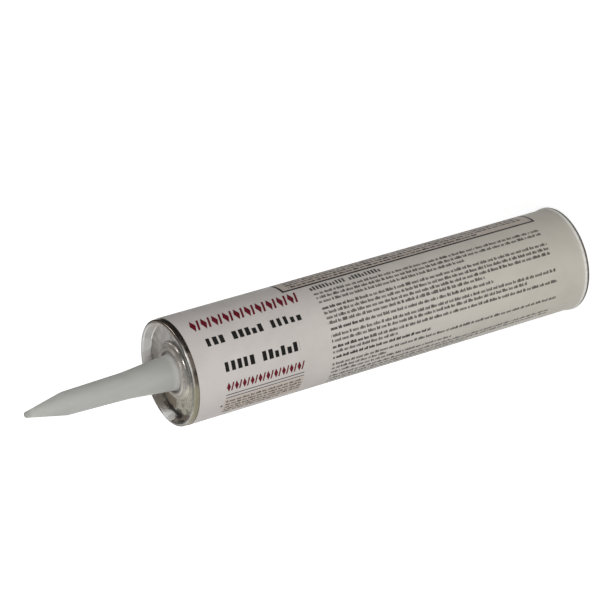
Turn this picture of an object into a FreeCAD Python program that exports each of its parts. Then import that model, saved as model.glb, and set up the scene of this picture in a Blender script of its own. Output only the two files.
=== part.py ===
# Caulk tube: a fibre cartridge with a rolled-on metal front end, a moulded nozzle and a push-in plunger.
# All sizes are in millimetres. The axis is Z, with the nozzle upwards.
# The origin is the centre of the rear edge, on which the cartridge stands.
import FreeCAD
import Part
import math
import os

Vec = FreeCAD.Vector

# Barrel: spiral-wound fibre tube
BODY_LENGTH = 216.0
BORE_RADIUS = 23.5
TUBE_WALL = 1.26
FLARE_GROWTH = 0.55
FLARE_TOP = 4.0
FLARE_BOTTOM = 1.2
REAR_EDGE_ROUND = 0.25

# Neck of the barrel, squeezed down under the metal skirt
NECK_DROP = 0.35
NECK_WALL = 1.06
NECK_SLOPE = 0.14
NECK_BORE_SLOPE = 0.6

# Printed wrap
LABEL_THICKNESS = 0.13
LABEL_GLUE = 0.02
LABEL_SETBACK = 3.06
LABEL_REAR_MARGIN = 0.6

# Pressed tinplate front end
METAL = 0.28
SEAM_GAP = 0.02
SKIRT_HEIGHT = 2.9
RIM_ROUND = 0.8
CHUCK_LEAN = 0.75
PANEL_DEPTH = 4.4
PANEL_CORNER_ROUND = 0.7
BOSS_FOOT_RADIUS = 13.5
BOSS_FOOT_ROUND = 1.2
STEP_HEIGHT = 1.35
STEP_SLOPE = 0.6
STEP_WIDTH = 1.2
CROWN_HEIGHT = 1.35
CROWN_SLOPE = 0.5
CROWN_WIDTH = 1.45
LIP_SLOPE = 0.25
LIP_DROP = 1.0
PRESSED_ROUND = 0.45

# Moulded nozzle
NOZZLE_REACH = 70.2
NOZZLE_TIP_RADIUS = 1.2
TIP_ROUND = 0.7
SHOULDER_REACH = 51.0
SHOULDER_RADIUS = 5.35
SHOULDER_ROUND = 9.0
WAIST_REACH = 21.0
WAIST_RADIUS = 6.15
WAIST_ROUND = 60.0
ROOT_CLEARANCE = 1.05
ROOT_FILLET = 0.5
NOZZLE_WALL = 1.2
NOZZLE_TIP_SOLID = 4.0
FLANGE_PLAY = 0.3
FLANGE_EDGE_ROUND = 0.2

# Foil disc that closes the nozzle's root
SEAL_MARGIN = 0.5
SEAL_THICKNESS = 0.1

# Push-in plunger
PLUNGER_RECESS = 12.0
PLUNGER_HEIGHT = 16.0
PLUNGER_WALL = 1.1
PLUNGER_FRONT = 1.4
PLUNGER_RUNNING_GAP = 0.08
PLUNGER_LIP_DEPTH = 0.75
PLUNGER_LIP_WIDTH = 1.6
PLUNGER_LIP_BEVEL = 0.5
PLUNGER_CORNER_ROUND = 1.6
PLUNGER_RING_RADIUS = 9.0
PLUNGER_RING_WIDTH = 1.2
PLUNGER_RING_HEIGHT = 2.5

# Filling
FILL_GAP = 0.02

# Shared levels and radii that follow from the sizes above
tube_outer_radius = BORE_RADIUS + TUBE_WALL
neck_outer_radius = tube_outer_radius - NECK_DROP
neck_inner_radius = neck_outer_radius - NECK_WALL
skirt_inner_radius = neck_outer_radius + SEAM_GAP
skirt_outer_radius = skirt_inner_radius + METAL
chuck_top_radius = neck_inner_radius - SEAM_GAP - METAL
panel_radius = chuck_top_radius - CHUCK_LEAN
skirt_bottom_z = BODY_LENGTH - SKIRT_HEIGHT
rim_centre_z = BODY_LENGTH - RIM_ROUND
panel_z = BODY_LENGTH - PANEL_DEPTH
panel_underside_z = panel_z - METAL
step_z = panel_z + STEP_HEIGHT
step_underside_z = step_z - METAL
crown_z = step_z + CROWN_HEIGHT
step_outer_radius = BOSS_FOOT_RADIUS - STEP_SLOPE
step_inner_radius = step_outer_radius - STEP_WIDTH
crown_outer_radius = step_inner_radius - CROWN_SLOPE
crown_inner_radius = crown_outer_radius - CROWN_WIDTH
lip_radius = crown_inner_radius - LIP_SLOPE
root_radius = lip_radius - ROOT_CLEARANCE
tip_z = BODY_LENGTH + NOZZLE_REACH
label_inner_radius = tube_outer_radius + LABEL_GLUE
label_front_z = BODY_LENGTH - LABEL_SETBACK
flange_radius = step_outer_radius - METAL - FLANGE_PLAY
seal_bottom_z = panel_underside_z - SEAL_THICKNESS
plunger_front_z = PLUNGER_RECESS + PLUNGER_HEIGHT


def point(radius, z):
    """A point of a half section, in the XZ plane."""
    return Vec(radius, 0, z)


def line(start, end):
    return Part.makeLine(start, end)


def rounded_path(corners):
    """Edges through the corners, each given as (radius from the axis, z, corner round)."""
    points = [point(radius, z) for radius, z, _ in corners]
    edges = []
    start = points[0]
    for index in range(1, len(corners) - 1):
        corner = points[index]
        corner_round = corners[index][2]
        if corner_round == 0:
            edges.append(line(start, corner))
            start = corner
            continue
        back = (points[index - 1] - corner).normalize()
        ahead = (points[index + 1] - corner).normalize()
        half_angle = back.getAngle(ahead) / 2
        reach = corner_round / math.tan(half_angle)
        middle_offset = corner_round / math.sin(half_angle) - corner_round
        arc_start = corner + back * reach
        arc_end = corner + ahead * reach
        arc_middle = corner + (back + ahead).normalize() * middle_offset
        edges.append(line(start, arc_start))
        edges.append(Part.Arc(arc_start, arc_middle, arc_end).toShape())
        start = arc_end
    edges.append(line(start, points[-1]))
    return edges


def turned(section):
    return section.revolve(Vec(0, 0, 0), Vec(0, 0, 1), 360)


def revolved(edges):
    """The solid that a closed half section sweeps round the axis."""
    section = Part.Face(Part.Wire(Part.sortEdges(edges)[0]))
    return turned(section)


def revolved_outline(corners):
    """A turned solid from closed corners: (radius from the axis, z, corner round)."""
    edges = rounded_path(corners)
    edges.append(line(point(*corners[-1][:2]), point(*corners[0][:2])))
    return revolved(edges)


def flare_curve(cylinder_radius):
    """The rear flare of a wall whose radius is given: a soft S from the barrel to the rear edge."""
    middle_z = (FLARE_TOP + FLARE_BOTTOM) / 2
    flared_radius = cylinder_radius + FLARE_GROWTH
    curve = Part.BezierCurve()
    curve.setPoles([
        point(cylinder_radius, FLARE_TOP),
        point(cylinder_radius, middle_z),
        point(flared_radius, middle_z),
        point(flared_radius, FLARE_BOTTOM),
    ])
    return curve.toShape()


def make_tube():
    flared_bore = BORE_RADIUS + FLARE_GROWTH
    flared_outer = tube_outer_radius + FLARE_GROWTH
    neck_top_z = rim_centre_z - SEAM_GAP
    neck_foot_z = label_front_z + NECK_SLOPE
    neck_bore_foot_z = panel_underside_z
    neck_bore_top_z = neck_bore_foot_z + NECK_BORE_SLOPE
    rear_edge = rounded_path([
        (flared_bore, FLARE_BOTTOM, 0),
        (flared_bore, 0, REAR_EDGE_ROUND),
        (flared_outer, 0, REAR_EDGE_ROUND),
        (flared_outer, FLARE_BOTTOM, 0),
    ])
    front = rounded_path([
        (tube_outer_radius, FLARE_TOP, 0),
        (tube_outer_radius, label_front_z, 0),
        (neck_outer_radius, neck_foot_z, 0),
        (neck_outer_radius, neck_top_z, 0),
        (neck_inner_radius, neck_top_z, 0),
        (neck_inner_radius, neck_bore_top_z, 0),
        (BORE_RADIUS, neck_bore_foot_z, 0),
        (BORE_RADIUS, FLARE_TOP, 0),
    ])
    flares = [flare_curve(BORE_RADIUS), flare_curve(tube_outer_radius)]
    return revolved(rear_edge + front + flares)


def make_label():
    outer_radius = label_inner_radius + LABEL_THICKNESS
    flared_inner = label_inner_radius + FLARE_GROWTH
    flared_outer = outer_radius + FLARE_GROWTH
    rear_edge = rounded_path([
        (flared_inner, FLARE_BOTTOM, 0),
        (flared_inner, LABEL_REAR_MARGIN, 0),
        (flared_outer, LABEL_REAR_MARGIN, 0),
        (flared_outer, FLARE_BOTTOM, 0),
    ])
    front = rounded_path([
        (outer_radius, FLARE_TOP, 0),
        (outer_radius, label_front_z, 0),
        (label_inner_radius, label_front_z, 0),
        (label_inner_radius, FLARE_TOP, 0),
    ])
    flares = [flare_curve(label_inner_radius), flare_curve(outer_radius)]
    return revolved(rear_edge + front + flares)


def make_front_end():
    """One sheet: skirt, rolled rim, inner wall, panel, two-step boss and the lip round the nozzle."""
    outer_face = rounded_path([
        (skirt_outer_radius, skirt_bottom_z, 0),
        (skirt_outer_radius, BODY_LENGTH, RIM_ROUND),
        (chuck_top_radius, BODY_LENGTH, RIM_ROUND),
        (panel_radius, panel_z, PANEL_CORNER_ROUND),
        (BOSS_FOOT_RADIUS, panel_z, BOSS_FOOT_ROUND),
        (step_outer_radius, step_z, PRESSED_ROUND),
        (step_inner_radius, step_z, PRESSED_ROUND),
        (crown_outer_radius, crown_z, PRESSED_ROUND),
        (crown_inner_radius, crown_z, PRESSED_ROUND),
        (lip_radius, crown_z - LIP_DROP, 0),
    ])
    sheet = Part.Wire(outer_face).makeOffset2D(METAL, 0, True, True)
    return turned(sheet.Faces[0])


def make_nozzle():
    """Hollow cone with a closed tip. Its flange is held between the boss and the filling."""
    bore_end_z = tip_z - NOZZLE_TIP_SOLID
    tip_slope = (SHOULDER_RADIUS - NOZZLE_TIP_RADIUS) / (NOZZLE_REACH - SHOULDER_REACH)
    bore_end_radius = NOZZLE_TIP_RADIUS + tip_slope * NOZZLE_TIP_SOLID - NOZZLE_WALL
    shoulder_z = BODY_LENGTH + SHOULDER_REACH
    waist_z = BODY_LENGTH + WAIST_REACH
    return revolved_outline([
        (0, bore_end_z, 0),
        (bore_end_radius, bore_end_z, 0),
        (SHOULDER_RADIUS - NOZZLE_WALL, shoulder_z, 0),
        (WAIST_RADIUS - NOZZLE_WALL, waist_z, 0),
        (root_radius - NOZZLE_WALL, step_underside_z, 0),
        (root_radius - NOZZLE_WALL, panel_underside_z, 0),
        (flange_radius, panel_underside_z, FLANGE_EDGE_ROUND),
        (flange_radius, step_underside_z, FLANGE_EDGE_ROUND),
        (root_radius, step_underside_z, ROOT_FILLET),
        (WAIST_RADIUS, waist_z, WAIST_ROUND),
        (SHOULDER_RADIUS, shoulder_z, SHOULDER_ROUND),
        (NOZZLE_TIP_RADIUS, tip_z, TIP_ROUND),
        (0, tip_z, 0),
    ])


def make_nozzle_seal():
    seal_radius = flange_radius - SEAL_MARGIN
    return Part.makeCylinder(seal_radius, SEAL_THICKNESS, Vec(0, 0, seal_bottom_z))


def make_sealant():
    """The filling, from the plunger's front to the foil disc."""
    length = seal_bottom_z - plunger_front_z
    return Part.makeCylinder(BORE_RADIUS - FILL_GAP, length, Vec(0, 0, plunger_front_z))


def make_plunger():
    """A cup that is open to the rear, with a wiping lip at each end of its side wall."""
    wiper_radius = BORE_RADIUS - PLUNGER_RUNNING_GAP
    side_radius = wiper_radius - PLUNGER_LIP_DEPTH
    cup_radius = side_radius - PLUNGER_WALL
    floor_z = plunger_front_z - PLUNGER_FRONT
    rear_z = PLUNGER_RECESS
    ring_outer = PLUNGER_RING_RADIUS
    ring_inner = ring_outer - PLUNGER_RING_WIDTH
    ring_rear_z = floor_z - PLUNGER_RING_HEIGHT
    rear_lip_z = rear_z + PLUNGER_LIP_WIDTH
    front_lip_z = plunger_front_z - PLUNGER_LIP_WIDTH
    return revolved_outline([
        (0, floor_z, 0),
        (ring_inner, floor_z, 0),
        (ring_inner, ring_rear_z, 0),
        (ring_outer, ring_rear_z, 0),
        (ring_outer, floor_z, 0),
        (cup_radius, floor_z, PLUNGER_CORNER_ROUND),
        (cup_radius, rear_z, 0),
        (wiper_radius - PLUNGER_LIP_BEVEL, rear_z, 0),
        (wiper_radius, rear_z + PLUNGER_LIP_BEVEL, 0),
        (wiper_radius, rear_lip_z, 0),
        (side_radius, rear_lip_z + PLUNGER_LIP_DEPTH, 0),
        (side_radius, front_lip_z - PLUNGER_LIP_DEPTH, 0),
        (wiper_radius, front_lip_z, 0),
        (wiper_radius, plunger_front_z - PLUNGER_LIP_BEVEL, 0),
        (wiper_radius - PLUNGER_LIP_BEVEL, plunger_front_z, 0),
        (0, plunger_front_z, 0),
    ])


PIECES = {
    "tube": make_tube,
    "label": make_label,
    "front_end": make_front_end,
    "nozzle": make_nozzle,
    "nozzle_seal": make_nozzle_seal,
    "sealant": make_sealant,
    "plunger": make_plunger,
}

os.makedirs("parts", exist_ok=True)
for name, make_piece in PIECES.items():
    piece = make_piece()
    piece.exportStep(f"parts/{name}.step")
    box = piece.optimalBoundingBox()
    print(
        f"{name}: valid {piece.isValid()}, solids {len(piece.Solids)}, {piece.Volume / 1000:.2f} cm3,"
        f" radius {box.XMax:.2f}, z {box.ZMin:.2f} to {box.ZMax:.2f}"
    )
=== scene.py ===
import math

import bmesh
import bpy
from mathutils import Matrix, Vector


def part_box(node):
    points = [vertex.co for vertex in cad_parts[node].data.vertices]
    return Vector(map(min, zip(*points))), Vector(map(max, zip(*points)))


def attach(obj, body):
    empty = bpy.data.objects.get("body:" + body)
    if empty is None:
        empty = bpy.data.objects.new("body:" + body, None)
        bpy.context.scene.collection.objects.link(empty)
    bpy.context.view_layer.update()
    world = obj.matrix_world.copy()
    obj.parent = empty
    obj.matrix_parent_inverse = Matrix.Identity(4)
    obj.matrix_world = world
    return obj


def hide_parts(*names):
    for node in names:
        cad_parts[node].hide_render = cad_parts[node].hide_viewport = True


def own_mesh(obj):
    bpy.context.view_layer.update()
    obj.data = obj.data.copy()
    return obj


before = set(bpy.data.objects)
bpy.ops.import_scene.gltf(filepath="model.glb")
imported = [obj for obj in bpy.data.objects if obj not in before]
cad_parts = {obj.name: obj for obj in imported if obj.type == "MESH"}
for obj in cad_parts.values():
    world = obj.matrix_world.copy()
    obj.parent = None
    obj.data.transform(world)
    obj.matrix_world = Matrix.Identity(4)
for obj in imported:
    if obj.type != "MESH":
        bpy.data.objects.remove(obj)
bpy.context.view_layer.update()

MM = 0.001

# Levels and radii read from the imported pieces, in metres
label_low, label_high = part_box("label")
nozzle_low, nozzle_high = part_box("nozzle")
_, end_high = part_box("front_end")
seal_low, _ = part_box("nozzle_seal")
_, plunger_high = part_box("plunger")
rim_z = end_high.z

# Barrel, wrap and filling, as the source has them
FLARE_GROWTH = 0.55 * MM
FLARE_TOP = 4.0 * MM
FLARE_BOTTOM = 1.2 * MM
LABEL_THICKNESS = 0.13 * MM
RUNNING_GAP = 0.08 * MM
FILLING_GAP = 0.02 * MM
label_radius = label_high.x - FLARE_GROWTH
bore_radius = plunger_high.x + RUNNING_GAP

# The wrap's glued overlap, which lies at the back of the barrel
OVERLAP_WIDTH = 7.0 * MM
OVERLAP_RAMP = 1.2 * MM
WRAP_STEPS = 240
WRAP_ROWS = 40
WRAP_ROW_CROWDING = 2.0

# Front end, as the source has it
METAL = 0.28 * MM
RIM_ROUND = 0.8 * MM
SKIRT_BAND = 1.66 * MM
CHUCK_LEAN = 0.75 * MM
PANEL_DEPTH = 4.4 * MM
PANEL_CORNER_ROUND = 0.7 * MM
BOSS_FOOT_RADIUS = 13.5 * MM
BOSS_FOOT_ROUND = 1.2 * MM
STEP_HEIGHT = 1.35 * MM
STEP_SLOPE = 0.6 * MM
STEP_WIDTH = 1.2 * MM
CROWN_HEIGHT = 1.35 * MM
CROWN_SLOPE = 0.5 * MM
CROWN_WIDTH = 1.45 * MM
LIP_SLOPE = 0.25 * MM
LIP_DROP = 1.0 * MM
PRESSED_ROUND = 0.45 * MM
SKIRT_HEIGHT = 2.9 * MM

# Nozzle, as the source has it. A reach is a height over the rim
NOZZLE_TIP_RADIUS = 1.2 * MM
TIP_ROUND = 0.7 * MM
SHOULDER_REACH = 51.0 * MM
SHOULDER_RADIUS = 5.35 * MM
SHOULDER_ROUND = 9.0 * MM
WAIST_REACH = 21.0 * MM
WAIST_RADIUS = 6.15 * MM
WAIST_ROUND = 60.0 * MM
ROOT_CLEARANCE = 1.05 * MM
ROOT_FILLET = 0.5 * MM
NOZZLE_WALL = 1.2 * MM
NOZZLE_TIP_SOLID = 4.0 * MM
FLANGE_EDGE_ROUND = 0.2 * MM

nozzle_root = BOSS_FOOT_RADIUS - STEP_SLOPE - STEP_WIDTH - CROWN_SLOPE - CROWN_WIDTH - LIP_SLOPE
nozzle_root -= ROOT_CLEARANCE

# Steps round each turned piece, segments in each round, and the angle from which an edge is sharp
END_STEPS = 256
NOZZLE_STEPS = 128
FILLING_STEPS = 96
ROUND_SEGMENTS = 6
MERGE_DISTANCE = 0.001 * MM
SHARP_ANGLE = math.radians(40)


def linked_object(name, data):
    """Puts an object with this data in the scene."""
    item = bpy.data.objects.new(name, data)
    bpy.context.collection.objects.link(item)
    return item


def mesh_object(name, mesh):
    """Makes a bmesh an object, and frees the bmesh."""
    data = bpy.data.meshes.new(name)
    mesh.to_mesh(data)
    mesh.free()
    return linked_object(name, data)


def turned_mesh(corners, steps, closed=True):
    """A turned bmesh from corners given as (radius, z, corner round). Its rounds are bevelled arcs."""
    mesh = bmesh.new()
    points = [mesh.verts.new((radius, 0, z)) for radius, z, _ in corners]
    for start, end in zip(points, points[1:]):
        mesh.edges.new((start, end))
    if closed:
        mesh.edges.new((points[-1], points[0]))
    for index, (_, _, corner_round) in enumerate(corners):
        if corner_round == 0:
            continue
        corner = Vector(corners[index][:2])
        back = (Vector(corners[index - 1][:2]) - corner).normalized()
        ahead = (Vector(corners[(index + 1) % len(corners)][:2]) - corner).normalized()
        reach = corner_round / math.tan(back.angle(ahead) / 2)
        bmesh.ops.bevel(
            mesh, geom=[points[index]], offset=reach, offset_type="OFFSET", segments=ROUND_SEGMENTS,
            profile=0.5, affect="VERTICES", material=-1, clamp_overlap=False,
        )
    bmesh.ops.spin(
        mesh, geom=mesh.verts[:] + mesh.edges[:], cent=(0, 0, 0), axis=(0, 0, 1), dvec=(0, 0, 0),
        angle=math.tau, steps=steps, use_merge=True, use_normal_flip=False, use_duplicate=False,
    )
    bmesh.ops.remove_doubles(mesh, verts=mesh.verts[:], dist=MERGE_DISTANCE)
    bmesh.ops.recalc_face_normals(mesh, faces=mesh.faces[:])
    return mesh


def outwards(mesh):
    """Turns the faces of an open wall so that its widest part faces away from the axis."""
    mesh.normal_update()
    widest = max(mesh.faces, key=lambda face: face.calc_center_median().to_2d().length)
    if widest.normal.to_2d().dot(widest.calc_center_median().to_2d()) < 0:
        bmesh.ops.reverse_faces(mesh, faces=mesh.faces[:])


def finished(mesh, name, material, replaced, wall=None):
    """Makes the bmesh a piece of the cartridge that stands for the replaced node."""
    if wall is None and mesh.calc_volume(signed=True) < 0:
        bmesh.ops.reverse_faces(mesh, faces=mesh.faces[:])
    if wall is not None:
        outwards(mesh)
        bmesh.ops.solidify(mesh, geom=mesh.faces[:], thickness=wall)
    piece = mesh_object(name, mesh)
    piece.data.materials.append(material)
    piece.data.shade_smooth()
    piece.data.set_sharp_from_angle(angle=SHARP_ANGLE)
    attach(piece, "cartridge")
    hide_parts(replaced)
    return piece


def fill(tree, socket, value):
    """Links an output to a socket, or sets a plain value on it."""
    if isinstance(value, bpy.types.NodeSocket):
        tree.links.new(value, socket)
    else:
        socket.default_value = value


def add_math(tree, operation, *values, clamp=False):
    """Adds a math node and returns its output."""
    node = tree.nodes.new("ShaderNodeMath")
    node.operation = operation
    node.use_clamp = clamp
    for socket, value in zip(node.inputs, values):
        fill(tree, socket, value)
    return node.outputs[0]


class Finish:
    """A material under construction. Most of its methods add nodes and return an output."""

    def __init__(self, name):
        self.material = bpy.data.materials.new(name)
        self.material.use_nodes = True
        self.tree = self.material.node_tree
        self.shader = self.tree.nodes["Principled BSDF"]
        place = self.tree.nodes.new("ShaderNodeTexCoord").outputs["Object"]
        self.place_mm = self.vector("SCALE", place, scale=1 / MM)
        split = self.tree.nodes.new("ShaderNodeSeparateXYZ")
        fill(self.tree, split.inputs[0], self.place_mm)
        self.x, self.y, self.z = split.outputs

    def set(self, **values):
        """Sets sockets of the surface shader by name, with spaces as underscores."""
        for name, value in values.items():
            fill(self.tree, self.shader.inputs[name.replace("_", " ")], value)

    def math(self, operation, *values, clamp=False):
        return add_math(self.tree, operation, *values, clamp=clamp)

    def vector(self, operation, *values, scale=None):
        node = self.tree.nodes.new("ShaderNodeVectorMath")
        node.operation = operation
        for socket, value in zip(node.inputs, values):
            fill(self.tree, socket, value)
        if scale is not None:
            node.inputs["Scale"].default_value = scale
        return node.outputs["Value" if operation == "LENGTH" else "Vector"]

    def combine(self, x, y, z=0.0):
        node = self.tree.nodes.new("ShaderNodeCombineXYZ")
        for socket, value in zip(node.inputs, (x, y, z)):
            fill(self.tree, socket, value)
        return node.outputs[0]

    def noise(self, scale, detail=2.0, roughness=0.5, place=None, stretch=(1, 1, 1)):
        """Fractal noise on places in millimetres, so scale is in waves per millimetre."""
        stretched = self.vector("MULTIPLY", place or self.place_mm, stretch)
        node = self.tree.nodes.new("ShaderNodeTexNoise")
        fill(self.tree, node.inputs["Vector"], stretched)
        node.inputs["Scale"].default_value = scale
        node.inputs["Detail"].default_value = detail
        node.inputs["Roughness"].default_value = roughness
        return node.outputs["Fac"]

    def random(self, x, y):
        """A number from 0 to 1 that depends on two others alone."""
        node = self.tree.nodes.new("ShaderNodeTexWhiteNoise")
        node.noise_dimensions = "2D"
        fill(self.tree, node.inputs["Vector"], self.combine(x, y))
        return node.outputs["Value"]

    def inside(self, value, low, high):
        """1 where the value lies between two plain numbers."""
        return self.math("COMPARE", value, (low + high) / 2, (high - low) / 2)

    def away(self, value, middle):
        """Distance of a value from a middle."""
        return self.math("ABSOLUTE", self.math("SUBTRACT", value, middle))

    def both(self, *masks):
        """The product of masks, in which a plain number is a strength."""
        result = masks[0]
        for mask in masks[1:]:
            result = self.math("MULTIPLY", result, mask)
        return result

    def any(self, *masks):
        """The largest of masks."""
        result = masks[0]
        for mask in masks[1:]:
            result = self.math("MAXIMUM", result, mask)
        return result

    def ramp(self, value, low, high, low_result=0.0, high_result=1.0):
        """A smooth step from one result to the other between two values."""
        node = self.tree.nodes.new("ShaderNodeMapRange")
        node.interpolation_type = "SMOOTHSTEP"
        for socket, number in zip(node.inputs, (value, low, high, low_result, high_result)):
            fill(self.tree, socket, number)
        return node.outputs[0]

    def mix(self, factor, first, second):
        """Mixes two colours, each an output or an (r, g, b) of linear values."""
        node = self.tree.nodes.new("ShaderNodeMix")
        node.data_type = "RGBA"
        fill(self.tree, node.inputs["Factor"], factor)
        for socket, colour in ((node.inputs[6], first), (node.inputs[7], second)):
            fill(self.tree, socket, colour if isinstance(colour, bpy.types.NodeSocket) else (*colour, 1))
        return node.outputs[2]

    def bump(self, strength, *layers):
        """Surface relief from layers given as (pattern, height in millimetres)."""
        height = 0.0
        for pattern, layer_height in layers:
            height = self.math("MULTIPLY_ADD", pattern, layer_height, height)
        node = self.tree.nodes.new("ShaderNodeBump")
        node.inputs["Strength"].default_value = strength
        node.inputs["Distance"].default_value = MM
        fill(self.tree, node.inputs["Height"], height)
        fill(self.tree, self.shader.inputs["Normal"], node.outputs[0])

    def around_mm(self, radius):
        """Distance round the barrel from the line that faces the camera, positive towards -X."""
        left = self.math("MULTIPLY", self.x, -1.0)
        forwards = self.math("MULTIPLY", self.y, -1.0)
        return self.math("MULTIPLY", self.math("ARCTAN2", left, forwards), radius / MM)

    def degrees(self):
        """Angle round the axis from the line that faces the camera, positive towards -X."""
        return self.around_mm(math.degrees(1) * MM)

    def radius_mm(self):
        return self.vector("LENGTH", self.combine(self.x, self.y))


def colour(red, green, blue):
    """A colour given as it looks on screen, 0 to 255, as linear values by the sRGB curve."""
    return tuple(
        part / 255 / 12.92 if part <= 10 else ((part / 255 + 0.055) / 1.055) ** 2.4
        for part in (red, green, blue)
    )


# Inks and stocks
PAPER = colour(200, 194, 190)
PAPER_REAR = colour(202, 197, 186)
BLACK_INK = colour(18, 17, 16)
GREY_INK = colour(68, 64, 59)
RED_INK = colour(100, 10, 30)
MAROON_INK = colour(30, 10, 14)
TINT_PANEL = colour(191, 180, 170)
PALE_EDGE_PAPER = colour(232, 229, 224)
BOARD = colour(104, 98, 90)
DARK_BOARD = colour(78, 72, 66)
PLY_LINE = colour(60, 56, 52)
FOIL_LINING = colour(176, 176, 172)

# Print layout in millimetres: along from the rim's front plane, around from the camera's side.
# A paragraph is (top, rows, line end, last line's end), and a text is (paragraphs, start, row pitch).
MAIN_TEXT = (
    (
        (-18.0, 3, 197, 152),
        (-9.7, 4, 197, 158),
        (0.5, 1, 162, 162),
        (3.6, 2, 197, 180),
        (8.9, 2, 197, 107),
        (14.2, 1, 125, 125),
        (17.9, 2, 197, 102),
        (22.9, 1, 138, 138),
        (25.9, 3, 195, 150),
        (34.7, 4, 197, 120),
        (46.0, 3, 197, 170),
    ), 72.0, 2.42,
)
BOLD_STARTS = (
    ((72.0, 92.0), (8.9, 11.3)),
    ((72.0, 89.0), (0.5, 2.9)),
    ((72.0, 125.0), (14.2, 16.6)),
    ((72.0, 86.0), (-9.7, -7.3)),
)
BOX_ALONG = (59.5, 200.0)
BOX_AROUND = (-58.0, -23.4)
BOX_LINE = 1.15
BOX_TEXT = ((-55.2, 12, 195, 168),), 64.0, 2.5
NOTE_PLACE = (16.0, 57.0), (20.9, 31.5)
NOTE_TEXT = ((21.5, 5, 56.5, 46.0),), 17.0, 1.95

# Rows of blocks: (along, around, pitch, cells left open)
HEADING = (72.0, 110.5), (-22.0, -19.2), 1.75, (11.0,)
FIRST_ROW = (12.0, 60.5), (-10.0, -6.1), 3.3, (3.0, 9.0)
SECOND_ROW = (17.0, 55.5), (2.6, 7.0), 3.2, (5.0,)

# Bands of lozenges (along, around, pitch), the thin rules under the lower band, and the dot
WIDE_BAND = (8.5, 64.5), (-21.9, -14.7), 5.6
SLIM_BAND = (16.5, 57.0), (12.0, 16.8), 4.05
UPPER_RULE = (16.5, 57.0), (18.25, 18.7)
LOWER_RULE = (16.5, 57.0), (19.95, 20.4)
DOT_PLACE = (15.0, 24.8)
DOT_RADIUS = 0.6

# Strength of each ink, and of the soiling of the paper
NOTE_INK = 0.95
MAIN_INK = 0.92
BOLD_INK = 0.6
HEADING_INK = 0.9
MOTTLE_STRENGTH = 0.10
SCUFF_STRENGTH = 0.14

# Words: cells in millimetres that hold two bars, with gaps at shares of a cell that shift by chance.
# The row's seed and the ids for each paragraph keep the rows different
WORD_PAIR = 7.0
FIRST_GAP = 0.08
SECOND_GAP = 0.58
GAP_SHIFT = 0.34
HALF_GAP = 0.042
ROW_SEED = 3.5
IDS_PER_PARAGRAPH = 10.0

# Strokes of the bars: their pitch in millimetres, and shares of the row's pitch or of chance
STROKE_PITCH = 0.62
TALL_FROM = 0.7
TALL_RISE = 0.17
STROKE_TOP = 0.36
STROKE_FOOT = 0.82
LIGHTEST_STROKE = 0.70

# Blocks, as shares of their pitch, of chance and of the row's height
BLOCK_WIDTH = 0.54
BLOCK_SPREAD = 0.16
LOW_FROM = 0.72
LOW_DROP = 0.30

# Lozenges and leaning bars, as shares of their pitch. The lean is in millimetres for each one down
LOZENGE_CENTRE = 0.30
LOZENGE_HALF = 0.26
BAR_CENTRE = 0.78
BAR_HALF = 0.095
BAR_HEIGHT = 0.86
BAR_LEAN = 0.26

# Yellowing, a pale band and fraying towards the rear edge, in millimetres from the rim's front plane
YELLOWING = (10.0, 200.0)
PALE_EDGE_BAND = (213.3, 213.8)
FRAYING = (214.9, 215.3)
FRAY_DEPTH = 0.7

# Spiral winding: millimetres round for each one of height
WINDING_RUN = 1.2

# Foil lining: how far out from the bore it reaches, and its start above the rear edge, in
# millimetres. The plies at the cut edge change by some radians for each millimetre of radius
LINING_REACH = 0.5
LINING_START = 0.35
PLY_RADIANS = 22.0


def word_bars(finish, along, line_id, height):
    """Rows of plain bars in word lengths, a little uneven along their upper edge."""
    start = finish.random(line_id, ROW_SEED)
    place = finish.math("ADD", finish.math("DIVIDE", along, WORD_PAIR), start)
    cell = finish.math("FLOOR", place)
    within = finish.math("SUBTRACT", place, cell)
    first_gap = finish.math("MULTIPLY_ADD", finish.random(cell, line_id), GAP_SHIFT, FIRST_GAP)
    second_gap = finish.math("MULTIPLY_ADD", finish.random(line_id, cell), GAP_SHIFT, SECOND_GAP)
    ink = finish.both(*(
        finish.math("SUBTRACT", 1.0, finish.math("COMPARE", within, gap, HALF_GAP))
        for gap in (first_gap, second_gap)
    ))
    stroke = finish.random(finish.math("FLOOR", finish.math("DIVIDE", along, STROKE_PITCH)), line_id)
    is_tall = finish.math("GREATER_THAN", stroke, TALL_FROM)
    top = finish.math("MULTIPLY_ADD", is_tall, -TALL_RISE, STROKE_TOP)
    in_height = finish.both(
        finish.math("GREATER_THAN", height, top), finish.math("LESS_THAN", height, STROKE_FOOT)
    )
    weight = finish.math("MULTIPLY_ADD", stroke, 1.0 - LIGHTEST_STROKE, LIGHTEST_STROKE)
    return finish.both(ink, in_height, weight)


def text_block(finish, along, around, paragraphs, start, pitch):
    """Small print in rows."""
    height = line_id = shown = 0.0
    for number, (top, rows, line_end, last_end) in enumerate(paragraphs):
        place = finish.math("DIVIDE", finish.math("SUBTRACT", around, top), pitch)
        row = finish.math("FLOOR", place)
        is_last = finish.math("COMPARE", row, rows - 1.0, 0.5)
        end = finish.math("MULTIPLY_ADD", is_last, last_end - line_end, line_end)
        in_line = finish.both(
            finish.math("LESS_THAN", along, end),
            finish.math("GREATER_THAN", along, start),
            finish.inside(place, 0.0, rows),
        )
        row_id = finish.math("ADD", row, IDS_PER_PARAGRAPH * number + 1.0)
        height = finish.math("MULTIPLY_ADD", in_line, finish.math("SUBTRACT", place, row), height)
        line_id = finish.math("MULTIPLY_ADD", in_line, row_id, line_id)
        shown = finish.math("ADD", shown, in_line)
    return finish.both(shown, word_bars(finish, along, line_id, height))


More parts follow.
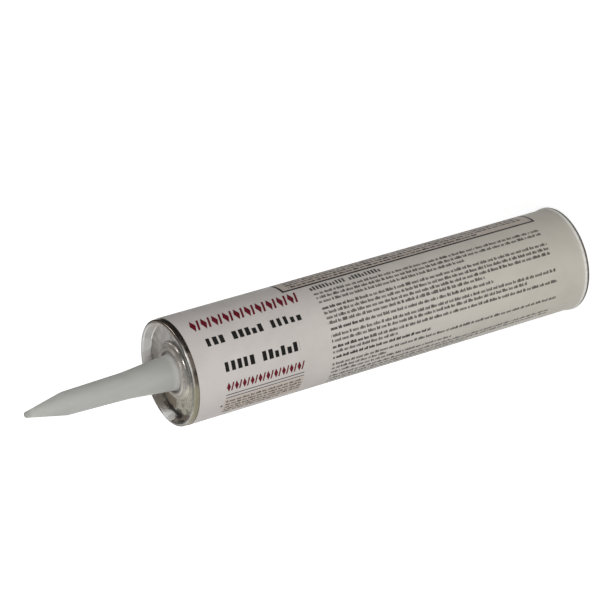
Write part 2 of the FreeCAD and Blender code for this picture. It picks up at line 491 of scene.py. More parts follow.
def block_row(finish, along, around, along_range, around_range, pitch, open_cells):
    """A heavy row of plain blocks, tall or low, with some cells left open."""
    top, bottom = around_range
    place = finish.math("DIVIDE", finish.math("SUBTRACT", along, along_range[0]), pitch)
    cell = finish.math("FLOOR", place)
    within = finish.math("SUBTRACT", place, cell)
    width = finish.math("MULTIPLY_ADD", finish.random(cell, top), BLOCK_SPREAD, BLOCK_WIDTH)
    mask = finish.math("LESS_THAN", within, width)
    is_low = finish.math("GREATER_THAN", finish.random(cell, bottom), LOW_FROM)
    upper = finish.math("LESS_THAN", around, top + (bottom - top) * LOW_DROP)
    mask = finish.math("SUBTRACT", mask, finish.both(is_low, upper), clamp=True)
    for open_cell in open_cells:
        is_open = finish.math("COMPARE", cell, open_cell, 0.5)
        mask = finish.math("SUBTRACT", mask, is_open, clamp=True)
    return finish.both(mask, rectangle(finish, along, around, along_range, around_range))


def lozenge_row(finish, along, around, along_range, around_range, pitch):
    """A band of lozenges and leaning bars by turns."""
    top, bottom = around_range
    half = (bottom - top) / 2
    offset = finish.math("SUBTRACT", around, (top + bottom) / 2)
    from_middle = finish.math("ABSOLUTE", offset)
    place = finish.math("DIVIDE", finish.math("SUBTRACT", along, along_range[0]), pitch)
    within = finish.math("FRACT", place)
    across = finish.math("MULTIPLY", finish.away(within, LOZENGE_CENTRE), 1 / LOZENGE_HALF)
    upright = finish.math("MULTIPLY", from_middle, 1 / half)
    lozenge = finish.math("LESS_THAN", finish.math("ADD", across, upright), 1.0)
    leaning = finish.math("MULTIPLY_ADD", offset, BAR_LEAN / pitch, within)
    bar = finish.both(
        finish.math("COMPARE", leaning, BAR_CENTRE, BAR_HALF),
        finish.math("LESS_THAN", from_middle, BAR_HEIGHT * half),
    )
    return finish.both(finish.any(lozenge, bar), finish.inside(along, *along_range))


def rectangle(finish, along, around, along_range, around_range):
    return finish.both(finish.inside(along, *along_range), finish.inside(around, *around_range))


def wound_seam(finish, strips, half_width):
    """The line between the strips of the spiral winding. Its half width is a share of a strip."""
    winding = finish.math("MULTIPLY_ADD", finish.z, WINDING_RUN, finish.around_mm(bore_radius))
    strip = math.tau * bore_radius / MM / strips
    place = finish.math("FRACT", finish.math("DIVIDE", winding, strip))
    return finish.ramp(finish.away(place, 0.5), 0.0, half_width, 1.0, 0.0)


def soiled_paper(finish, along):
    """Paper that yellows towards the rear, mottled and scuffed."""
    surface = finish.mix(finish.ramp(along, *YELLOWING), PAPER, PAPER_REAR)
    mottle = finish.noise(scale=0.06, detail=5.0, roughness=0.65)
    mottle = finish.both(finish.ramp(mottle, 0.35, 0.75), MOTTLE_STRENGTH)
    surface = finish.mix(mottle, surface, BOARD)
    scuffs = finish.noise(scale=0.4, detail=6.0, roughness=0.75, stretch=(1, 1, 0.22))
    scuffs = finish.both(finish.ramp(scuffs, 0.62, 0.78), SCUFF_STRENGTH)
    return finish.mix(scuffs, surface, BOARD)


def framed_box(finish, surface, along, around):
    """The tinted box with its frame line and rows of print."""
    outer = rectangle(finish, along, around, BOX_ALONG, BOX_AROUND)
    inner = rectangle(
        finish, along, around,
        (BOX_ALONG[0] + BOX_LINE, BOX_ALONG[1] - BOX_LINE),
        (BOX_AROUND[0] + BOX_LINE, BOX_AROUND[1] - BOX_LINE),
    )
    surface = finish.mix(inner, surface, TINT_PANEL)
    surface = finish.mix(finish.math("SUBTRACT", outer, inner, clamp=True), surface, MAROON_INK)
    return finish.mix(text_block(finish, along, around, *BOX_TEXT), surface, MAROON_INK)


def small_print(finish, surface, along, around):
    """The tinted note and the main rows of small print, with bolder starts."""
    surface = finish.mix(rectangle(finish, along, around, *NOTE_PLACE), surface, TINT_PANEL)
    note = text_block(finish, along, around, *NOTE_TEXT)
    surface = finish.mix(finish.both(note, NOTE_INK), surface, GREY_INK)
    main = text_block(finish, along, around, *MAIN_TEXT)
    surface = finish.mix(finish.both(main, MAIN_INK), surface, GREY_INK)
    bold = finish.any(*(rectangle(finish, along, around, *place) for place in BOLD_STARTS))
    return finish.mix(finish.both(main, bold, BOLD_INK), surface, BLACK_INK)


def headings(finish, surface, along, around):
    """The black rows of blocks, the red bands, their rules and the dot."""
    heading = block_row(finish, along, around, *HEADING)
    surface = finish.mix(finish.both(heading, HEADING_INK), surface, BLACK_INK)
    rows = [block_row(finish, along, around, *row) for row in (FIRST_ROW, SECOND_ROW)]
    surface = finish.mix(finish.any(*rows), surface, BLACK_INK)
    bands = [lozenge_row(finish, along, around, *band) for band in (WIDE_BAND, SLIM_BAND)]
    surface = finish.mix(finish.any(*bands), surface, RED_INK)
    rules = [rectangle(finish, along, around, *rule) for rule in (UPPER_RULE, LOWER_RULE)]
    surface = finish.mix(finish.any(*rules), surface, MAROON_INK)
    from_dot = finish.combine(
        finish.math("SUBTRACT", along, DOT_PLACE[0]), finish.math("SUBTRACT", around, DOT_PLACE[1])
    )
    dot = finish.math("LESS_THAN", finish.vector("LENGTH", from_dot), DOT_RADIUS)
    return finish.mix(dot, surface, GREY_INK)


def pale_and_frayed_rear(finish, surface, along):
    """A pale band just before the rear edge of the paper, and its frayed edge."""
    pale_band = finish.both(
        finish.ramp(along, *PALE_EDGE_BAND),
        finish.ramp(finish.noise(scale=0.5, detail=3.0, roughness=0.6), 0.30, 0.55, 0.45, 1.0),
    )
    surface = finish.mix(pale_band, surface, PALE_EDGE_PAPER)
    fraying = finish.math("MULTIPLY", finish.noise(scale=0.9, detail=4.0, roughness=0.7), FRAY_DEPTH)
    frayed = finish.ramp(finish.math("ADD", along, fraying), *FRAYING)
    return finish.mix(frayed, surface, BOARD)


def printed_paper():
    """White wrap with print in black, grey and two dark reds, a little soiled and yellowed."""
    finish = Finish("printed_paper")
    along = finish.math("SUBTRACT", rim_z / MM, finish.z)
    around = finish.around_mm(label_radius)
    surface = soiled_paper(finish, along)
    surface = framed_box(finish, surface, along, around)
    surface = small_print(finish, surface, along, around)
    surface = headings(finish, surface, along, around)
    surface = pale_and_frayed_rear(finish, surface, along)

    fibres = finish.noise(scale=2.2, detail=3.0, roughness=0.7)
    waves = finish.noise(scale=0.06, detail=2.0, roughness=0.5)
    seam = wound_seam(finish, strips=1, half_width=0.008)
    finish.bump(0.6, (fibres, 0.010), (waves, 0.12), (seam, -0.02))
    finish.set(
        Base_Color=surface,
        Roughness=finish.ramp(finish.noise(scale=0.2, detail=3.0), 0.3, 0.7, 0.44, 0.56),
        Specular_IOR_Level=0.22,
    )
    return finish.material


def fibre_board():
    """Wound board: grey-brown plies at the cut edge, and a foil lining in the bore."""
    finish = Finish("fibre_board")
    radius = finish.radius_mm()
    in_bore = finish.both(
        finish.math("LESS_THAN", radius, bore_radius / MM + LINING_REACH),
        finish.math("GREATER_THAN", finish.z, LINING_START),
    )
    plies = finish.math("SINE", finish.math("MULTIPLY", radius, PLY_RADIANS))
    fuzz = finish.noise(scale=1.6, detail=4.0, roughness=0.7)
    board = finish.mix(finish.ramp(fuzz, 0.3, 0.7), BOARD, DARK_BOARD)
    board = finish.mix(finish.ramp(plies, 0.2, 1.0, 0.0, 0.35), board, PLY_LINE)
    seam = wound_seam(finish, strips=3, half_width=0.012)
    finish.bump(0.7, (fuzz, 0.03), (seam, 0.08), (plies, 0.01))
    finish.set(
        Base_Color=finish.mix(in_bore, board, FOIL_LINING),
        Metallic=finish.math("MULTIPLY", in_bore, 0.85),
        Roughness=finish.math("MULTIPLY_ADD", in_bore, -0.45, 0.85),
    )
    return finish.material


# Tones of the metal end
TIN = colour(205, 201, 196)
DULL_TIN = colour(184, 179, 172)
STREAK = colour(146, 141, 134)
FILM = colour(214, 211, 191)
BROWN_STAIN = colour(150, 134, 114)
# Pinkish grey: a real stain at the wall's foot, and painted shade where it dulls the boss's crown
PINK_STAIN_AND_SHADE = colour(132, 114, 106)
# Soot: real dark specks and spots, and also painted shade and painted dark reflection
SOOT_AND_SHADE = colour(52, 46, 38)
# Painted shade for the dark crescent round the nozzle's root
PAINTED_LIP_SHADE = colour(84, 64, 58)
# Painted reflections and painted glints on the inner wall and on the rim
PAINTED_SHEEN = colour(226, 224, 222)
PAINTED_GLINT = colour(254, 254, 252)
# Painted dark reflection on the skirt and the rim's top
PAINTED_DARK_REFLECTION = colour(158, 147, 134)
PAINTED_DEEP_REFLECTION = colour(108, 96, 84)
SKIRT_FILM = colour(146, 141, 118)
HAZE = colour(178, 170, 162)
# Painted light: the haze's tone on the side towards the lamps
PAINTED_LIT_HAZE = colour(222, 216, 206)

# Marks on the metal end, some of them painted light and shade: (angle, half width in degrees, radius, half
# width in mm, tone, strength)
PANEL_MARKS = (
    (82.0, 56.0, 17.0, 6.5, FILM, 0.8),
    (138.0, 20.0, 16.0, 4.5, BROWN_STAIN, 0.85),
    (104.0, 16.0, 21.6, 1.6, PINK_STAIN_AND_SHADE, 0.8),
    # The next two are painted shade in the corner between the panel and the wall
    (132.0, 26.0, 21.5, 1.5, SOOT_AND_SHADE, 0.95),
    (113.0, 9.0, 20.3, 1.8, SOOT_AND_SHADE, 0.8),
    (99.0, 6.0, 16.1, 1.3, SOOT_AND_SHADE, 0.45),
    (90.0, 5.0, 19.1, 1.3, SOOT_AND_SHADE, 0.45),
    # Painted dark reflection at the boss's foot
    (-43.0, 24.0, 14.3, 1.1, SOOT_AND_SHADE, 0.65),
)
BARE_MARKS = (
    # Painted shade: the dark crescent round the nozzle's root
    (-48.0, 34.0, 9.8, 0.9, PAINTED_LIP_SHADE, 1.0),
    # Painted shade: a dull patch that hides a highlight on the boss's crown
    (-52.0, 20.0, 12.3, 1.0, PINK_STAIN_AND_SHADE, 0.6),
    (151.0, 10.0, 22.6, 1.6, BROWN_STAIN, 0.35),
    # The next five are painted reflections and painted glints on the inner wall and the rim's top
    (-128.0, 40.0, 23.1, 0.9, PAINTED_SHEEN, 0.8),
    (127.0, 12.0, 23.1, 0.9, PAINTED_SHEEN, 0.9),
    (130.0, 5.0, 23.1, 0.7, PAINTED_GLINT, 0.95),
    (-137.0, 10.0, 23.1, 1.1, PAINTED_GLINT, 0.45),
    (-4.0, 17.0, 25.1, 0.5, PAINTED_SHEEN, 0.5),
    # Painted shade: a dark line along the rim's far edge
    (138.0, 42.0, 24.65, 0.35, SOOT_AND_SHADE, 0.55),
)

# Edges of the marks: the shares of their half widths over which they fade, and how far the
# blotches and the streaks move them
MARK_EDGE = (0.75, 1.15)
UNEVEN_EDGE = 1.1
HATCHED_EDGE = 2.4

# Roughness of the clean metal, what dullness adds to it, and how much the marks, dirt and painted light and
# shade alike, hide the metal and roughen it
TIN_ROUGHNESS = 0.18
DULL_ROUGHNESS = 0.08
MARK_COVER = 0.75
MARK_ROUGHNESS = 0.30

# Depths below the rim in millimetres
RECESS_DEPTH = (2.4, 3.6)
BELOW_RIM = (0.9, 1.5)

# Painted dark reflection, and a film, on the skirt and rim: two angles in degrees, and the strength
# before the first and after the second
SKIRT_DARK_REFLECTION = (-125.0, -105.0, 0.35, 0.9)
RIM_DARK_REFLECTION_START = (-112.0, -95.0, 0.0, 1.0)
RIM_DARK_REFLECTION_END = (-38.0, -26.0, 0.95, 0.0)
DARK_REFLECTION_DEEPENING = (-35.0, -12.0, 0.0, 1.0)
SKIRT_FILM_START = (16.0, 26.0, 0.0, 1.0)
SKIRT_FILM_END = (150.0, 175.0, 1.0, 0.0)
SKIRT_FILM_UNEVEN = 8.0

# Haze over the boss, paler towards the lamps as painted light, rings of painted shade in its creases at
# two radii, and specks in the film: angles in degrees, radii and widths in millimetres
HAZE_EDGE = (12.4, 13.2)
HAZE_STRENGTH = 0.55
HAZE_LIGHT_CHANGE = (-40.0, 10.0)
CREASE_SHADE_RADII = (BOSS_FOOT_RADIUS / MM + 0.25, BOSS_FOOT_RADIUS / MM - 1.95)
CREASE_SHADE_WIDTH = (0.10, 0.40)
CREASE_SHADE_STRENGTH = 0.4
SPECK_ANGLE = (15.0, 40.0)
SPECK_RADIUS = (13.5, 14.5)
SPECK_STRENGTH = 0.45

# Streaks on the metal: waves for each degree round, and how much slower they change along the
# radius and the depth
STREAK_WAVES = 0.105
STREAK_SLOWING = 0.10


def mark(finish, angle, radius, uneven, middle, half_angle, centre, half_width):
    """A soft-edged oval patch on a turned surface."""
    across = finish.math("MULTIPLY", finish.math("SUBTRACT", angle, middle), 1 / half_angle)
    outward = finish.math("MULTIPLY", finish.math("SUBTRACT", radius, centre), 1 / half_width)
    distance = finish.vector("LENGTH", finish.combine(across, outward))
    return finish.ramp(finish.math("ADD", distance, uneven), *MARK_EDGE, 1.0, 0.0)


def tinplate():
    """Tinplate with turning marks, dull patches, a greenish film and stains low on one side, and with
    painted highlights, painted dark reflections and painted shade.
    """
    finish = Finish("tinplate")
    radius = finish.radius_mm()
    angle = finish.degrees()
    depth = finish.math("SUBTRACT", rim_z / MM, finish.z)
    in_recess = finish.ramp(depth, *RECESS_DEPTH)
    streaks = finish.noise(
        scale=1.0, detail=4.0, roughness=0.65,
        place=finish.combine(finish.math("MULTIPLY", angle, STREAK_WAVES), radius, depth),
        stretch=(1, STREAK_SLOWING, STREAK_SLOWING),
    )
    dull = finish.ramp(finish.noise(scale=0.25, detail=5.0, roughness=0.65), 0.40, 0.70)
    metal = finish.mix(dull, TIN, DULL_TIN)
    metal = finish.mix(finish.ramp(streaks, 0.45, 0.65, 0.0, 0.4), metal, STREAK)

    blotches = finish.noise(scale=0.45, detail=6.0, roughness=0.70)
    uneven = finish.math("MULTIPLY_ADD", blotches, UNEVEN_EDGE, -UNEVEN_EDGE / 2)
    hatched = finish.math("MULTIPLY_ADD", streaks, HATCHED_EDGE, -HATCHED_EDGE / 2)
    dirt_and_painted_light = []
    for *place, tone, strength in PANEL_MARKS:
        edge = hatched if tone is SOOT_AND_SHADE else uneven
        patch = finish.both(mark(finish, angle, radius, edge, *place), in_recess, strength)
        metal = finish.mix(patch, metal, tone)
        dirt_and_painted_light.append(patch)
    for *place, tone, strength in BARE_MARKS:
        patch = finish.both(mark(finish, angle, radius, uneven, *place), strength)
        metal = finish.mix(patch, metal, tone)
        dirt_and_painted_light.append(patch)

    on_skirt = finish.math("GREATER_THAN", radius, (end_high.x - METAL) / MM)
    on_rim = finish.ramp(radius, (end_high.x - SKIRT_BAND) / MM, (end_high.x - RIM_ROUND) / MM)
    # Painted dark reflection on the skirt and on part of the rim's top
    painted_dark = finish.any(
        finish.both(on_skirt, finish.ramp(depth, *BELOW_RIM), finish.ramp(angle, *SKIRT_DARK_REFLECTION)),
        finish.both(on_rim, finish.ramp(angle, *RIM_DARK_REFLECTION_START), finish.ramp(angle, *RIM_DARK_REFLECTION_END)),
    )
    painted_dark_tone = finish.mix(finish.ramp(angle, *DARK_REFLECTION_DEEPENING), PAINTED_DARK_REFLECTION, PAINTED_DEEP_REFLECTION)
    metal = finish.mix(painted_dark, metal, painted_dark_tone)
    film_angle = finish.math("ADD", angle, finish.math("MULTIPLY", uneven, SKIRT_FILM_UNEVEN))
    skirt_film = finish.both(
        finish.ramp(film_angle, *SKIRT_FILM_START),
        finish.ramp(angle, *SKIRT_FILM_END),
        on_skirt,
        finish.ramp(blotches, 0.25, 0.55, 0.55, 0.95),
    )
    metal = finish.mix(skirt_film, metal, SKIRT_FILM)

    haze = finish.both(finish.ramp(radius, *HAZE_EDGE, 1.0, 0.0), HAZE_STRENGTH)
    # Painted light: the haze turns paler on the side towards the lamps
    haze_with_painted_light = finish.mix(finish.ramp(angle, *HAZE_LIGHT_CHANGE), HAZE, PAINTED_LIT_HAZE)
    metal = finish.mix(haze, metal, haze_with_painted_light)
    # Painted shade: dark rings in the creases at the foot of the boss and of its crown
    crease_shade = finish.any(*(
        finish.ramp(finish.away(radius, ring), *CREASE_SHADE_WIDTH, 1.0, 0.0) for ring in CREASE_SHADE_RADII
    ))
    specks = finish.both(
        finish.ramp(finish.noise(scale=0.8, detail=3.0, roughness=0.6), 0.54, 0.64),
        finish.ramp(angle, *SPECK_ANGLE), finish.ramp(radius, *SPECK_RADIUS), in_recess, SPECK_STRENGTH,
    )
    shade_and_specks = finish.any(finish.both(crease_shade, finish.ramp(blotches, 0.3, 0.6), CREASE_SHADE_STRENGTH), specks)
    metal = finish.mix(shade_and_specks, metal, SOOT_AND_SHADE)
    dirt_and_painted_light = finish.any(*dirt_and_painted_light, skirt_film, haze, shade_and_specks)

    turning = finish.noise(scale=1.3, detail=3.0, roughness=0.6, place=finish.combine(radius, 0.0))
    dents = finish.noise(scale=0.5, detail=4.0, roughness=0.6)
    finish.bump(0.8, (turning, 0.03), (dents, 0.016), (streaks, 0.04))
    worn = finish.math("MULTIPLY_ADD", dull, DULL_ROUGHNESS, TIN_ROUGHNESS)
    finish.set(
        Base_Color=metal,
        Metallic=finish.math("MULTIPLY_ADD", dirt_and_painted_light, -MARK_COVER, 1.0),
        Roughness=finish.math("MULTIPLY_ADD", dirt_and_painted_light, MARK_ROUGHNESS, worn),
    )
    return finish.material


# Plastic: between which levels from the rim the painted light on the nozzle's root fades out, how far its
# tip darkens and the half width of a parting line, in millimetres, and how far light goes into it
ROOT_LIGHT_LEVELS = (-2.2, 1.5)
DARK_TIP_LENGTH = 4.0
PARTING_LINE = 0.16
LIGHT_DEPTH = 6.0 * MM


def waxy_plastic(name, base, shade, roughness, painted_root_light=None, dark_tip=None):
    """Soft moulded plastic with flow marks and a fine parting line on each side.

    The nozzle has painted light at its root, for the light that the metal end bounces onto it, and is a
    little darker at its tip.
    """
    finish = Finish(name)
    flow = finish.noise(scale=0.12, detail=3.0, roughness=0.6, stretch=(1, 1, 0.18))
    flow = finish.ramp(flow, 0.35, 0.7)
    grain = finish.noise(scale=3.5, detail=2.0, roughness=0.6)
    waviness = finish.noise(scale=0.12, detail=2.0, roughness=0.5)
    parting = finish.ramp(finish.math("ABSOLUTE", finish.y), 0.0, PARTING_LINE, 1.0, 0.0)
    finish.bump(0.6, (grain, 0.004), (waviness, 0.06), (parting, 0.05))
    surface = finish.mix(flow, base, shade)
    if painted_root_light is not None:
        # Painted light: the root is paler, for the light that the metal end bounces onto it
        root_start, root_end = (rim_z / MM + reach for reach in ROOT_LIGHT_LEVELS)
        surface = finish.mix(finish.ramp(finish.z, root_start, root_end, 0.8, 0.0), surface, painted_root_light)
    # The tip darkens towards its end
    if dark_tip is not None:
        tip = nozzle_high.z / MM
        surface = finish.mix(finish.ramp(finish.z, tip - DARK_TIP_LENGTH, tip, 0.0, 0.9), surface, dark_tip)
    finish.set(
        Base_Color=surface,
        Roughness=finish.math("MULTIPLY_ADD", flow, 0.08, roughness),
        Subsurface_Weight=0.9,
        Subsurface_Radius=(1.0, 1.0, 0.9),
        Subsurface_Scale=LIGHT_DEPTH,
        Specular_IOR_Level=0.35,
    )
    return finish.material


def seal_foil():
    """Creased grey foil."""
    finish = Finish("seal_foil")
    creases = finish.noise(scale=0.8, detail=4.0, roughness=0.6)
    finish.bump(0.8, (creases, 0.03))
    finish.set(
        Base_Color=finish.mix(creases, colour(196, 196, 198), colour(170, 170, 172)),
        Metallic=1.0,
        Roughness=finish.ramp(creases, 0.2, 0.8, 0.25, 0.4),
    )
    return finish.material


def sealant_paste():
    """Grey paste with faint streaks."""
    finish = Finish("sealant_paste")
    streaks = finish.noise(scale=0.15, detail=4.0, roughness=0.6)
    finish.bump(0.5, (streaks, 0.2))
    finish.set(
        Base_Color=finish.mix(streaks, colour(150, 150, 146), colour(132, 132, 128)),
        Roughness=finish.ramp(streaks, 0.3, 0.7, 0.3, 0.45),
    )
    return finish.material


def flare_share(z):
    """How far the barrel has flared at a height: 0 on the barrel, 1 at the rear edge."""
    share = min(max((FLARE_TOP - z) / (FLARE_TOP - FLARE_BOTTOM), 0), 1)
    return share * share * (3 - 2 * share)


def make_wrap(material):
    """The printed wrap. At the back its last strip lies over its first one."""
    mesh = bmesh.new()
    bmesh.ops.create_grid(mesh, x_segments=WRAP_STEPS, y_segments=WRAP_ROWS, size=0.5)
    whole_turn = math.tau + OVERLAP_WIDTH / label_radius
    lift_from = 1 - (OVERLAP_WIDTH + OVERLAP_RAMP) / label_radius / whole_turn
    lift_to = 1 - OVERLAP_WIDTH / label_radius / whole_turn
    for vert in mesh.verts:
        turn, height = vert.co.x + 0.5, vert.co.y + 0.5
        z = label_low.z + (label_high.z - label_low.z) * height**WRAP_ROW_CROWDING
        lift = min(max((turn - lift_from) / (lift_to - lift_from), 0), 1)
        radius = label_radius + FLARE_GROWTH * flare_share(z) + LABEL_THICKNESS * lift
        angle = math.pi / 2 + turn * whole_turn
        vert.co = (radius * math.cos(angle), radius * math.sin(angle), z)
    return finished(mesh, "printed_wrap", material, "label", wall=LABEL_THICKNESS)


def make_front_end(material):
    """The pressed tinplate end: skirt, rolled rim, inner wall, panel, two-step boss and lip."""
    skirt = end_high.x
    chuck_top = skirt - SKIRT_BAND
    panel_z = rim_z - PANEL_DEPTH
    step_z = panel_z + STEP_HEIGHT
    crown_z = step_z + CROWN_HEIGHT
    step_outer = BOSS_FOOT_RADIUS - STEP_SLOPE
    step_inner = step_outer - STEP_WIDTH
    crown_outer = step_inner - CROWN_SLOPE
    crown_inner = crown_outer - CROWN_WIDTH
    mesh = turned_mesh([
        (skirt, rim_z - SKIRT_HEIGHT, 0),
        (skirt, rim_z, RIM_ROUND),
        (chuck_top, rim_z, RIM_ROUND),
        (chuck_top - CHUCK_LEAN, panel_z, PANEL_CORNER_ROUND),
        (BOSS_FOOT_RADIUS, panel_z, BOSS_FOOT_ROUND),
        (step_outer, step_z, PRESSED_ROUND),
        (step_inner, step_z, PRESSED_ROUND),
        (crown_outer, crown_z, PRESSED_ROUND),
        (crown_inner, crown_z, PRESSED_ROUND),
        (crown_inner - LIP_SLOPE, crown_z - LIP_DROP, 0),
    ], END_STEPS, closed=False)
    return finished(mesh, "tinplate_end", material, "front_end", wall=METAL)


def make_nozzle(material):
    """The moulded nozzle: closed tip, slim shoulder, long cone and the flange under the boss."""
    root = nozzle_root
    tip_z = nozzle_high.z
    flange = nozzle_high.x
    flange_top = rim_z - PANEL_DEPTH + STEP_HEIGHT - METAL
    bore_end_z = tip_z - NOZZLE_TIP_SOLID
    tip_slope = (SHOULDER_RADIUS - NOZZLE_TIP_RADIUS) / (tip_z - rim_z - SHOULDER_REACH)
    mesh = turned_mesh([
        (0, bore_end_z, 0),
        (NOZZLE_TIP_RADIUS + tip_slope * NOZZLE_TIP_SOLID - NOZZLE_WALL, bore_end_z, 0),
        (SHOULDER_RADIUS - NOZZLE_WALL, rim_z + SHOULDER_REACH, 0),
        (WAIST_RADIUS - NOZZLE_WALL, rim_z + WAIST_REACH, 0),
        (root - NOZZLE_WALL, flange_top, 0),
        (root - NOZZLE_WALL, nozzle_low.z, 0),
        (flange, nozzle_low.z, FLANGE_EDGE_ROUND),
        (flange, flange_top, FLANGE_EDGE_ROUND),
        (root, flange_top, ROOT_FILLET),
        (WAIST_RADIUS, rim_z + WAIST_REACH, WAIST_ROUND),
        (SHOULDER_RADIUS, rim_z + SHOULDER_REACH, SHOULDER_ROUND),
        (NOZZLE_TIP_RADIUS, tip_z, TIP_ROUND),
        (0, tip_z, 0),
    ], NOZZLE_STEPS)
    return finished(mesh, "moulded_nozzle", material, "nozzle")


def make_filling(material):
    """The filling, from the plunger to the foil disc, in a mesh of its own."""
    radius = bore_radius - FILLING_GAP
    rear, front = plunger_high.z, seal_low.z
    mesh = turned_mesh([(0, rear, 0), (radius, rear, 0), (radius, front, 0), (0, front, 0)], FILLING_STEPS)
    filling = finished(mesh, "sealant_filling", material, "sealant")
    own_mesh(filling)


def carried(node, material):
    """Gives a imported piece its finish."""
    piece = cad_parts[node]
    piece.data.materials.clear()
    piece.data.materials.append(material)


# Floor: its size in metres, and tone and glow far from the object and near it. The near part
# gives way to the far one between two distances in millimetres
FLOOR_SIZE = 12.0
FLOOR_TONE, NEAR_TONE = 0.8, 0.5
FLOOR_GLOW, NEAR_GLOW = 0.76, 0.78
NEAR_FLOOR = (60.0, 240.0)

# Light from the world on the object, and the place on the barrel that most lamps point at
WORLD_LEVEL = 0.46
LAMP_AIM = (0, 0, 0.2)

# The camera looks down on the standing barrel and is rolled, so that the barrel lies as in the photo
CAMERA_PLACE = Vector((0.0, -1.0520, 0.68565))
CAMERA_AIM = Vector((0.01055, 0.0, 0.13854))
CAMERA_ROLL = math.radians(-106.135)
CAMERA_LENS = 150.7
CAMERA_SENSOR = 36.0
CAMERA_CLIP = (0.01, 50.0)

# Planes of the far cards, in metres, and where two cards meet in one plane
LEFT_WALL, RIGHT_WALL = -0.9, 0.9
FRONT_WALL, BACK_WALL = -1.6, 0.8
WALL_FOOT, ROOF = 0.22, 1.4
LEFT_MEETING, BACK_MEETING, ROOF_MEETING = -0.3, 0.15, -0.35
LOW_BACK_TOP = 0.42


def background_rays(tree):
    """1 for the rays that see the background: camera, glossy and transmission."""
    rays = tree.nodes.new("ShaderNodeLightPath").outputs
    seen = add_math(tree, "MAXIMUM", rays["Is Camera Ray"], rays["Is Glossy Ray"])
    return add_math(tree, "MAXIMUM", seen, rays["Is Transmission Ray"])


def floor_material():
    """Pale floor that stays white to the camera and in reflections, and keeps the soft shadow."""
    finish = Finish("floor")
    far = finish.ramp(finish.radius_mm(), *NEAR_FLOOR)
    glow = finish.math("MULTIPLY_ADD", far, FLOOR_GLOW - NEAR_GLOW, NEAR_GLOW)
    finish.set(
        Base_Color=finish.mix(far, (NEAR_TONE,) * 3, (FLOOR_TONE,) * 3),
        Roughness=0.9,
        Specular_IOR_Level=0.0,
        Emission_Color=(1, 1, 1, 1),
        Emission_Strength=finish.math("MULTIPLY", background_rays(finish.tree), glow),
    )
    return finish.material


def make_floor():
    mesh = bmesh.new()
    bmesh.ops.create_grid(mesh, x_segments=1, y_segments=1, size=FLOOR_SIZE / 2)
    floor = mesh_object("floor", mesh)
    floor.data.materials.append(floor_material())


def make_world():
    """White to the rays that see the background, and plain grey light on the object."""
    world = bpy.data.worlds.new("studio")
    bpy.context.scene.world = world
    world.use_nodes = True
    tree = world.node_tree
    strength = add_math(tree, "MULTIPLY_ADD", background_rays(tree), 1.0 - WORLD_LEVEL, WORLD_LEVEL)
    fill(tree, tree.nodes["Background"].inputs["Strength"], strength)
    fill(tree, tree.nodes["Background"].inputs["Color"], (1, 1, 1, 1))


def make_camera():
    data = bpy.data.cameras.new("camera")
    data.lens = CAMERA_LENS
    data.sensor_width = CAMERA_SENSOR
    data.clip_start, data.clip_end = CAMERA_CLIP
    camera = linked_object("camera", data)
    view = (CAMERA_AIM - CAMERA_PLACE).to_track_quat("-Z", "Y").to_matrix().to_4x4()
    camera.matrix_world = Matrix.Translation(CAMERA_PLACE) @ view @ Matrix.Rotation(CAMERA_ROLL, 4, "Z")
    bpy.context.scene.camera = camera


def make_lamp(name, place, width, height, power, aim=LAMP_AIM, diffuse=True, gloss=True):
    data = bpy.data.lights.new(name, "AREA")
    data.shape = "RECTANGLE"
    data.size, data.size_y = width, height
    data.energy = power
    lamp = linked_object(name, data)
    lamp.location = place
    lamp.rotation_euler = (Vector(aim) - Vector(place)).to_track_quat("-Z", "Y").to_euler()
    lamp.visible_diffuse, lamp.visible_glossy = diffuse, gloss


def around_rectangle(first, second):
    """Corners of a rectangle, in order round it."""
    return (first[0], second[0]), (first[1], second[0]), (first[1], second[1]), (first[0], second[1])


def wall_x(x, y_range, z_range):
    """Corners of an upright rectangle across X."""
    return [(x, y, z) for y, z in around_rectangle(y_range, z_range)]


def wall_y(y, x_range, z_range):
    """Corners of an upright rectangle across Y."""
    return [(x, y, z) for x, z in around_rectangle(x_range, z_range)]


def level(z, x_range, y_range):
    """Corners of a level rectangle."""
    return [(x, y, z) for x, y in around_rectangle(x_range, y_range)]


def make_card(name, tone, corners, seen_by_paper=False):
    """A grey card that stands near the object for the metal to reflect. The camera doesn't see it."""
    mesh = bmesh.new()
    mesh.faces.new([mesh.verts.new(corner) for corner in corners])
    card = mesh_object(name, mesh)
    material = bpy.data.materials.new(name)
    material.use_nodes = True
    surface = material.node_tree.nodes["Principled BSDF"]
    surface.inputs["Base Color"].default_value = (tone, tone, tone, 1)
    surface.inputs["Roughness"].default_value = 1.0
    card.data.materials.append(material)
    card.visible_camera = card.visible_shadow = False
    card.visible_diffuse = seen_by_paper


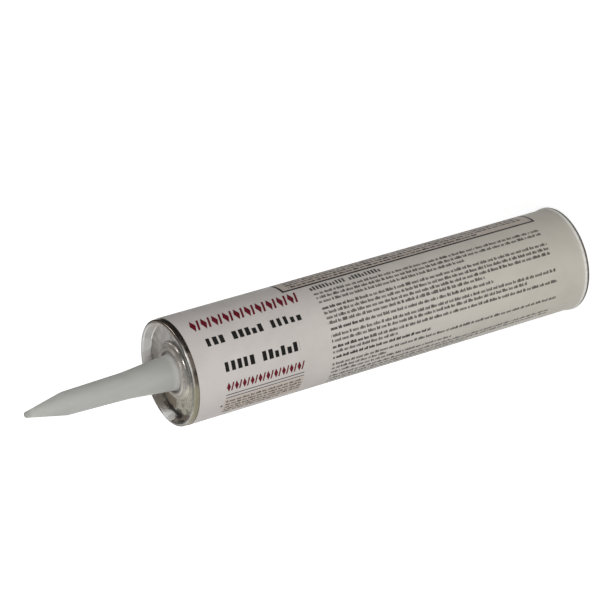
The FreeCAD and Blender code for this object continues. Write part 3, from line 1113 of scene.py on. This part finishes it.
def make_cards():
    front_to_back, foot_to_roof = (FRONT_WALL, BACK_WALL), (WALL_FOOT, ROOF)
    make_card("front_card", 0.05, wall_y(-0.28, (-0.10, 0.40), (0.0, 0.14)))
    make_card("side_card", 0.05, wall_x(0.22, (-0.20, 0.60), (0.0, 0.22)), seen_by_paper=True)
    make_card("high_side_card", 0.22, wall_x(RIGHT_WALL, front_to_back, foot_to_roof))
    make_card("high_left_card", 0.40, wall_x(LEFT_WALL, (LEFT_MEETING, BACK_WALL), (0.75, ROOF)))
    make_card("front_left_card", 0.50, wall_x(LEFT_WALL, (FRONT_WALL, LEFT_MEETING), foot_to_roof))
    make_card("far_front_card", 0.50, wall_y(FRONT_WALL, (LEFT_WALL, -0.1), foot_to_roof))
    make_card("left_card", 0.45, level(0.002, (-0.75, -0.08), (-0.65, 0.3)))
    make_card("back_card", 0.05, wall_y(BACK_WALL, (LEFT_WALL, RIGHT_WALL), (0.0, LOW_BACK_TOP)))
    make_card("high_card", 0.70, wall_y(BACK_WALL, (ROOF_MEETING, BACK_MEETING), (LOW_BACK_TOP, ROOF)))
    make_card("high_right_card", 0.22, wall_y(BACK_WALL, (BACK_MEETING, RIGHT_WALL), (LOW_BACK_TOP, ROOF)))
    make_card("roof_card", 0.25, level(ROOF, (ROOF_MEETING, RIGHT_WALL), front_to_back))
    make_card("left_roof_card", 0.45, level(ROOF, (LEFT_WALL, ROOF_MEETING), front_to_back))
    make_card("top_card", 0.15, level(0.95, (-0.22, 0.22), (-0.22, 0.22)))


make_camera()
make_world()
make_floor()
make_lamp("soft_lamp", (-0.90, -1.25, 0.85), 2.2, 1.5, 14.0, aim=(0, 0, 0.12), gloss=False)
make_lamp("fill_lamp", (0.55, -1.05, 0.60), 0.40, 0.40, 3.4, gloss=False)
make_lamp("boss_glint", (0.46, -1.08, 0.62), 0.15, 0.60, 2.0, diffuse=False)
make_lamp("right_glint", (0.84, 0.05, 0.52), 0.55, 0.16, 1.3, diffuse=False)
make_lamp("left_glint", (-0.86, 0.34, 0.60), 0.30, 0.45, 1.3, diffuse=False)
make_cards()
bpy.context.scene.view_settings.view_transform = "Standard"

carried("tube", fibre_board())
carried("nozzle_seal", seal_foil())
carried("plunger", waxy_plastic("plunger_plastic", colour(206, 205, 198), colour(192, 191, 184), 0.42))
make_wrap(printed_paper())
make_front_end(tinplate())
make_nozzle(waxy_plastic(
    "nozzle_plastic", colour(187, 188, 181), colour(180, 181, 174), 0.38,
    painted_root_light=colour(228, 226, 218), dark_tip=colour(142, 142, 140),
))
make_filling(sealant_paste())
